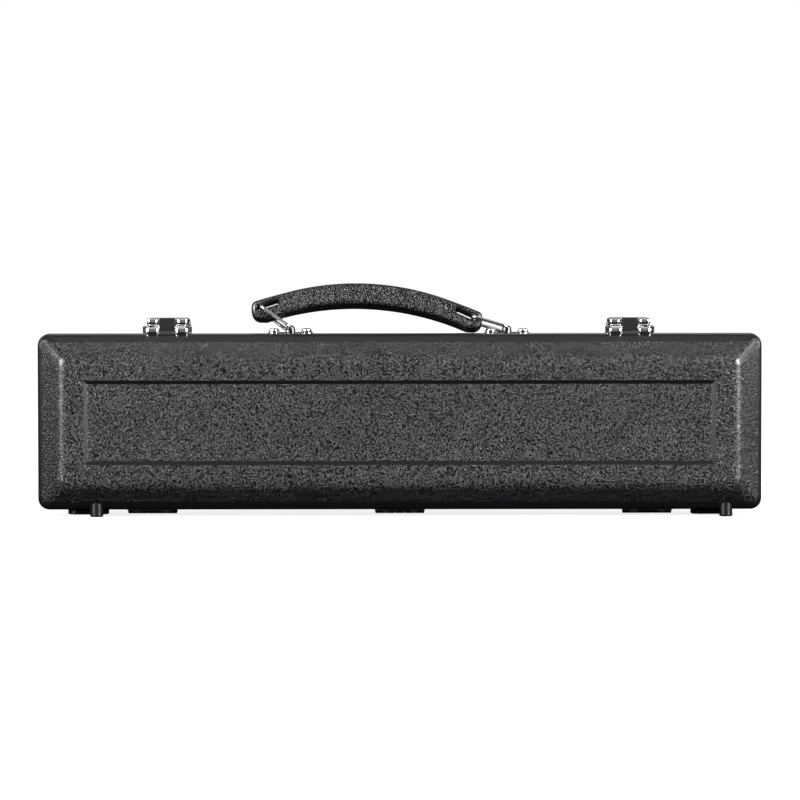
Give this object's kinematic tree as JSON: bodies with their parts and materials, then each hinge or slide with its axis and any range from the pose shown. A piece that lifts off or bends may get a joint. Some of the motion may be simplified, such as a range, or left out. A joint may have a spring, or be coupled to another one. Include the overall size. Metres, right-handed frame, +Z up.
{
  "type": "flute case",
  "caption": "Rigid moulded flute case with bevelled shells, a hinged lid, chrome lever latches, a lined tray and an arched handle on wire rings.",
  "frame": {"origin": "centre of the case's footprint, at the tips of the feet it stands on", "axes": "+X along the case, +Y from the lid's face towards the base's face, +Z up from the hinge edge to the handle edge"},
  "size_m": [0.419, 0.055, 0.1348],
  "materials": {
    "moulded_black": "leather-grained, satin",
    "tray": "matt",
    "plush": "short pile",
    "black_metal": "black enamel",
    "blackened_steel": "blackened",
    "chrome": "polished"
  },
  "bodies": {
    "base": {"base_shell": "moulded_black", "tray_core_lower": "tray", "tray_core_upper": "tray", "tray_lining": "plush", "base_hinge_rivets": "black_metal", "hinge_left_base_leaf": "black_metal", "hinge_centre_base_leaf": "black_metal", "hinge_right_base_leaf": "black_metal", "hinge_left_pin": "black_metal", "hinge_centre_pin": "black_metal", "hinge_right_pin": "black_metal", "latch_left_pan": "chrome", "latch_right_pan": "chrome", "latch_left_pin": "chrome", "latch_right_pin": "chrome", "pan_rivets": "chrome", "post_left": "chrome", "post_right": "chrome", "post_rivets": "chrome"},
    "lid": {"lid_shell": "moulded_black", "lid_pad": "plush", "lid_hinge_rivets": "black_metal", "hinge_left_lid_leaf": "black_metal", "hinge_centre_lid_leaf": "black_metal", "hinge_right_lid_leaf": "black_metal", "latch_left_keeper": "chrome", "latch_right_keeper": "chrome", "keeper_rivets": "chrome"},
    "lever_left": {"latch_left_lever": "chrome", "latch_left_catch": "blackened_steel"},
    "lever_right": {"latch_right_lever": "chrome", "latch_right_catch": "blackened_steel"},
    "ring_left": {"ring_left": "chrome"},
    "ring_right": {"ring_right": "chrome"},
    "handle": {"handle": "moulded_black"}
  },
  "joints": [
    {"name": "lid_hinge", "type": "hinge", "parent": "base", "child": "lid", "pos_m": [0, -0.0015, 0.0028], "axis": [1, 0, 0], "range_deg": [0, 140]},
    {"name": "latch_left_open", "type": "hinge", "parent": "base", "child": "lever_left", "pos_m": [-0.1343, 0.013, 0.1108], "axis": [-1, 0, 0], "range_deg": [0, 92]},
    {"name": "latch_right_open", "type": "hinge", "parent": "base", "child": "lever_right", "pos_m": [0.1331, 0.013, 0.1108], "axis": [-1, 0, 0], "range_deg": [0, 92]},
    {"name": "ring_left_swing", "type": "hinge", "parent": "base", "child": "ring_left", "pos_m": [-0.0636, 0.007, 0.1078], "axis": [0, 0.9816, -0.1908], "range_deg": [0, 100]},
    {"name": "ring_right_swing", "type": "hinge", "parent": "base", "child": "ring_right", "pos_m": [0.0624, 0.007, 0.1078], "axis": [0, 0.9816, -0.1908], "range_deg": [0, 110.5]},
    {"name": "handle_pivot", "type": "hinge", "parent": "ring_left", "child": "handle", "pos_m": [-0.08053, 0.00931, 0.11966], "axis": [0, 0.9816, -0.1908], "range_deg": [-104, 0]}
  ],
  "couplings": [
    {"joint": "ring_right_swing", "follows": "ring_left_swing", "ratio": 1.1},
    {"joint": "handle_pivot", "follows": "ring_left_swing", "ratio": -1.0391}
  ]
}
